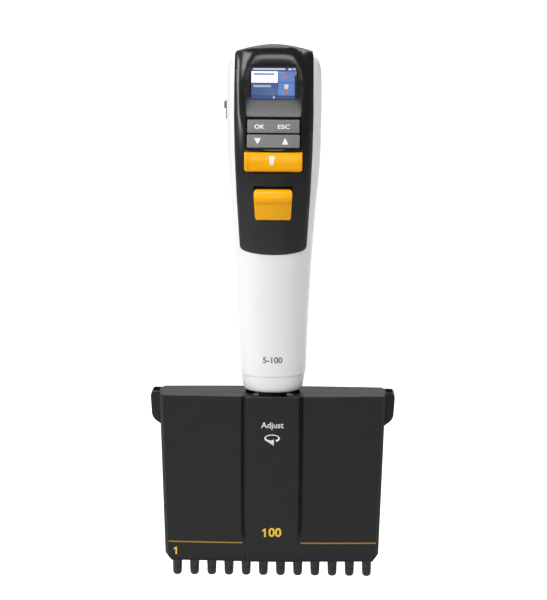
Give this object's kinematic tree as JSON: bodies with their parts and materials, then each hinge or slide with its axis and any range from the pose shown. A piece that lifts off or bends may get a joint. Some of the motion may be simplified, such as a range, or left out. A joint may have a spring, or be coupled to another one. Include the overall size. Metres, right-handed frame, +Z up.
{
  "type": "electronic multichannel pipette",
  "caption": "Electronic multichannel pipette: battery handle with display, keys and start bar, rear finger hook, ejector lever, and a swivelling manifold with a row of nozzles.",
  "frame": {"origin": "on the swivel axis, in the flat underside of the tip ejector plate, where the rims of the disposable tips stop", "axes": "+Z up along the handle and the swivel axis, -Y towards the display and keys, +X along the nozzle row to the viewer's right"},
  "size_m": [0.126, 0.0709, 0.2771],
  "materials": {
    "shell_white": "glossy moulded white shell",
    "panel_black": "glossy moulded black face",
    "cover_black": "satin moulded black cover",
    "window_glass": "clear display lens",
    "display_screen": "colour display, lit",
    "board_green": "soldered circuit board",
    "silicone_grey": "moulded silicone",
    "key_grey": "satin dark grey keys",
    "button_orange": "satin orange buttons",
    "steel": "stainless steel",
    "piston_steel": "ground and polished steel",
    "dark_plastic": "dark engineering plastic",
    "cell_wrap": "shrink-wrapped cell",
    "aluminium": "machined, satin",
    "cover_rubber": "soft grey elastomer",
    "nozzle_black": "satin black tip cones"
  },
  "bodies": {
    "handle": {"front_shell": "shell_white", "rear_shell": "shell_white", "face_panel": "panel_black", "display_window": "window_glass", "display_module": "display_screen", "circuit_board": "board_green", "keypad_mat": "silicone_grey", "start_bar_pin": "steel", "battery_cell": "cell_wrap", "motor_body": "aluminium", "motor_bracket": "dark_plastic", "swivel_collar": "cover_black", "finger_rest": "shell_white", "charge_socket": "steel", "housing_screw_left": "steel", "housing_screw_right": "steel", "ejector_spring": "steel"},
    "ok_esc_rocker": {"ok_esc_key": "key_grey"},
    "arrow_rocker": {"arrow_key": "key_grey"},
    "start_lever": {"start_bar": "button_orange"},
    "ejector_lever": {"ejector_button": "button_orange", "ejector_rod": "dark_plastic"},
    "port_flap": {"port_cover": "cover_rubber"},
    "rotor": {"motor_rotor": "dark_plastic"},
    "screw": {"drive_screw": "steel"},
    "manifold": {"manifold_front_cover": "cover_black", "manifold_rear_cover": "cover_black", "swivel_neck": "dark_plastic", "cylinder_block": "aluminium", "seal_strip": "silicone_grey", "manifold_screw_left": "steel", "manifold_screw_right": "steel", "nozzle_01": "nozzle_black", "nozzle_02": "nozzle_black", "nozzle_03": "nozzle_black", "nozzle_04": "nozzle_black", "nozzle_05": "nozzle_black", "nozzle_06": "nozzle_black", "nozzle_07": "nozzle_black", "nozzle_08": "nozzle_black", "nozzle_09": "nozzle_black", "nozzle_10": "nozzle_black", "nozzle_11": "nozzle_black", "nozzle_12": "nozzle_black"},
    "piston_set": {"crosshead": "aluminium", "piston_01": "piston_steel", "piston_02": "piston_steel", "piston_03": "piston_steel", "piston_04": "piston_steel", "piston_05": "piston_steel", "piston_06": "piston_steel", "piston_07": "piston_steel", "piston_08": "piston_steel", "piston_09": "piston_steel", "piston_10": "piston_steel", "piston_11": "piston_steel", "piston_12": "piston_steel"},
    "ejector_comb": {"ejector_plate": "cover_black", "ejector_yoke": "dark_plastic"}
  },
  "joints": [
    {"name": "manifold_swivel", "type": "hinge", "parent": "handle", "child": "manifold", "pos_m": [0, 0, 0.0897], "axis": [0, 0, 1], "continuous": true},
    {"name": "ok_esc_rock", "type": "hinge", "parent": "handle", "child": "ok_esc_rocker", "pos_m": [0, -0.0195, 0.22845], "axis": [0, 0.208, 0.9781], "range_deg": [-2.2, 2.2], "stiffness_Nm_per_rad": 0.45},
    {"name": "arrow_rock", "type": "hinge", "parent": "handle", "child": "arrow_rocker", "pos_m": [0, -0.0213, 0.2213], "axis": [0, 0.208, 0.9781], "range_deg": [-2.2, 2.2], "stiffness_Nm_per_rad": 0.45},
    {"name": "start_press", "type": "hinge", "parent": "handle", "child": "start_lever", "pos_m": [0, -0.0176, 0.2133], "axis": [1, 0, 0], "range_deg": [0, 3.5], "stiffness_Nm_per_rad": 0.3, "springref_deg": -2.29},
    {"name": "ejector_press", "type": "slide", "parent": "handle", "child": "ejector_lever", "axis": [0, 0, -1], "range_m": [0, 0.005], "stiffness_N_per_m": 1200, "springref_m": -0.0025, "deforming": ["ejector_spring"]},
    {"name": "ejector_drop", "type": "slide", "parent": "manifold", "child": "ejector_comb", "axis": [0, 0, -1], "range_m": [0, 0.005]},
    {"name": "rotor_spin", "type": "hinge", "parent": "handle", "child": "rotor", "pos_m": [0, 0, 0.136], "axis": [0, 0, 1], "range_deg": [0, 2013]},
    {"name": "screw_feed", "type": "slide", "parent": "handle", "child": "screw", "axis": [0, 0, 1], "range_m": [0, 0.0142]},
    {"name": "piston_stroke", "type": "slide", "parent": "manifold", "child": "piston_set", "axis": [0, 0, 1], "range_m": [0, 0.0142]},
    {"name": "port_cover_flap", "type": "hinge", "parent": "handle", "child": "port_flap", "pos_m": [-0.0242, 0.0035, 0.22975], "axis": [0, -1, 0], "range_deg": [0, 95], "stiffness_Nm_per_rad": 0.0005, "springref_deg": -5.73}
  ],
  "couplings": [
    {"joint": "ejector_drop", "follows": "ejector_press", "ratio": 1},
    {"joint": "screw_feed", "follows": "piston_stroke", "ratio": 1},
    {"joint": "rotor_spin", "follows": "piston_stroke", "rad_per_m": 2473.7}
  ]
}
